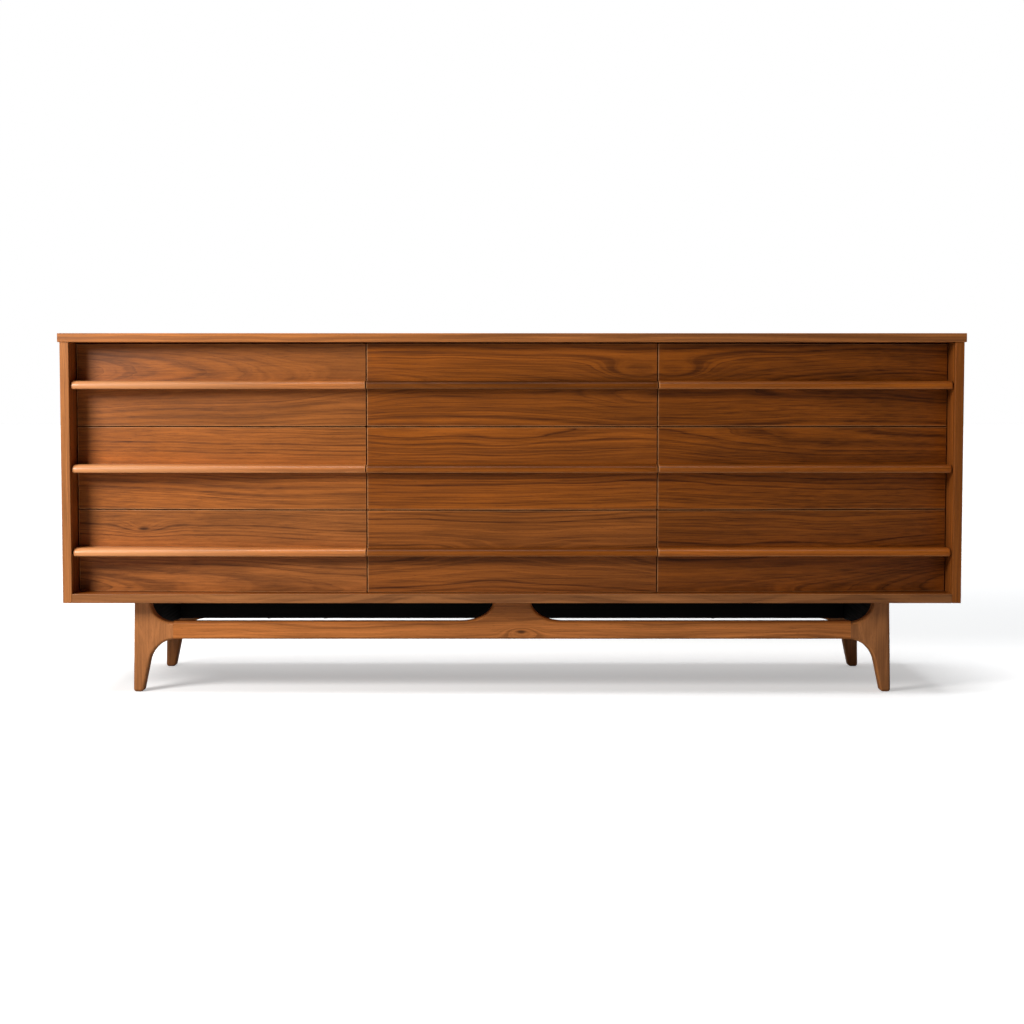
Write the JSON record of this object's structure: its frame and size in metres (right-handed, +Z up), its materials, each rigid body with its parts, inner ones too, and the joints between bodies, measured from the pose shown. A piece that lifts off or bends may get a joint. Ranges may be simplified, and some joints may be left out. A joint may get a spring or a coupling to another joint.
{
  "type": "dresser with drawers",
  "caption": "Long low walnut dresser: bowed drawer fronts with full-width lip pulls, recessed in a straight-edged case on a sculpted sled base.",
  "frame": {"origin": "on the floor, under the middle of the case", "axes": "+X along the length, to the right of someone facing the drawers; drawers open towards -Y; +Z up"},
  "size_m": [1.829, 0.483, 0.7335],
  "materials": {
    "walnut": "satin lacquer over oiled walnut",
    "walnut_lip": "satin lacquer, worn a little smoother by hands",
    "maple": "thin clear sealer",
    "plywood": "unfinished veneer plywood",
    "black_paint": "matt black paint"
  },
  "bodies": {
    "case": {"top": "walnut", "side_left": "walnut", "side_right": "walnut", "bottom": "walnut", "back": "plywood", "divider_left": "walnut", "divider_right": "walnut", "shelf_lower_left": "plywood", "shelf_lower_centre": "plywood", "shelf_lower_right": "plywood", "shelf_upper_left": "plywood", "shelf_upper_centre": "plywood", "shelf_upper_right": "plywood", "leg_front_left": "walnut", "leg_front_right": "walnut", "leg_rear_left": "walnut", "leg_rear_right": "walnut", "stretcher_front": "walnut", "stretcher_rear": "walnut", "rail_left": "black_paint", "rail_right": "black_paint", "rail_rear": "black_paint"},
    "drawer_top_left": {"front_top_left": "walnut", "pull_top_left": "walnut_lip", "box_top_left": "maple", "floor_top_left": "plywood"},
    "drawer_top_centre": {"front_top_centre": "walnut", "pull_top_centre": "walnut_lip", "box_top_centre": "maple", "floor_top_centre": "plywood"},
    "drawer_top_right": {"front_top_right": "walnut", "pull_top_right": "walnut_lip", "box_top_right": "maple", "floor_top_right": "plywood"},
    "drawer_middle_left": {"front_middle_left": "walnut", "pull_middle_left": "walnut_lip", "box_middle_left": "maple", "floor_middle_left": "plywood"},
    "drawer_middle_centre": {"front_middle_centre": "walnut", "pull_middle_centre": "walnut_lip", "box_middle_centre": "maple", "floor_middle_centre": "plywood"},
    "drawer_middle_right": {"front_middle_right": "walnut", "pull_middle_right": "walnut_lip", "box_middle_right": "maple", "floor_middle_right": "plywood"},
    "drawer_bottom_left": {"front_bottom_left": "walnut", "pull_bottom_left": "walnut_lip", "box_bottom_left": "maple", "floor_bottom_left": "plywood"},
    "drawer_bottom_centre": {"front_bottom_centre": "walnut", "pull_bottom_centre": "walnut_lip", "box_bottom_centre": "maple", "floor_bottom_centre": "plywood"},
    "drawer_bottom_right": {"front_bottom_right": "walnut", "pull_bottom_right": "walnut_lip", "box_bottom_right": "maple", "floor_bottom_right": "plywood"}
  },
  "joints": [
    {"name": "slide_top_left", "type": "slide", "parent": "case", "child": "drawer_top_left", "axis": [0, -1, 0], "range_m": [0, 0.3]},
    {"name": "slide_top_centre", "type": "slide", "parent": "case", "child": "drawer_top_centre", "axis": [0, -1, 0], "range_m": [0, 0.3]},
    {"name": "slide_top_right", "type": "slide", "parent": "case", "child": "drawer_top_right", "axis": [0, -1, 0], "range_m": [0, 0.3]},
    {"name": "slide_middle_left", "type": "slide", "parent": "case", "child": "drawer_middle_left", "axis": [0, -1, 0], "range_m": [0, 0.3]},
    {"name": "slide_middle_centre", "type": "slide", "parent": "case", "child": "drawer_middle_centre", "axis": [0, -1, 0], "range_m": [0, 0.3]},
    {"name": "slide_middle_right", "type": "slide", "parent": "case", "child": "drawer_middle_right", "axis": [0, -1, 0], "range_m": [0, 0.3]},
    {"name": "slide_bottom_left", "type": "slide", "parent": "case", "child": "drawer_bottom_left", "axis": [0, -1, 0], "range_m": [0, 0.3]},
    {"name": "slide_bottom_centre", "type": "slide", "parent": "case", "child": "drawer_bottom_centre", "axis": [0, -1, 0], "range_m": [0, 0.3]},
    {"name": "slide_bottom_right", "type": "slide", "parent": "case", "child": "drawer_bottom_right", "axis": [0, -1, 0], "range_m": [0, 0.3]}
  ]
}
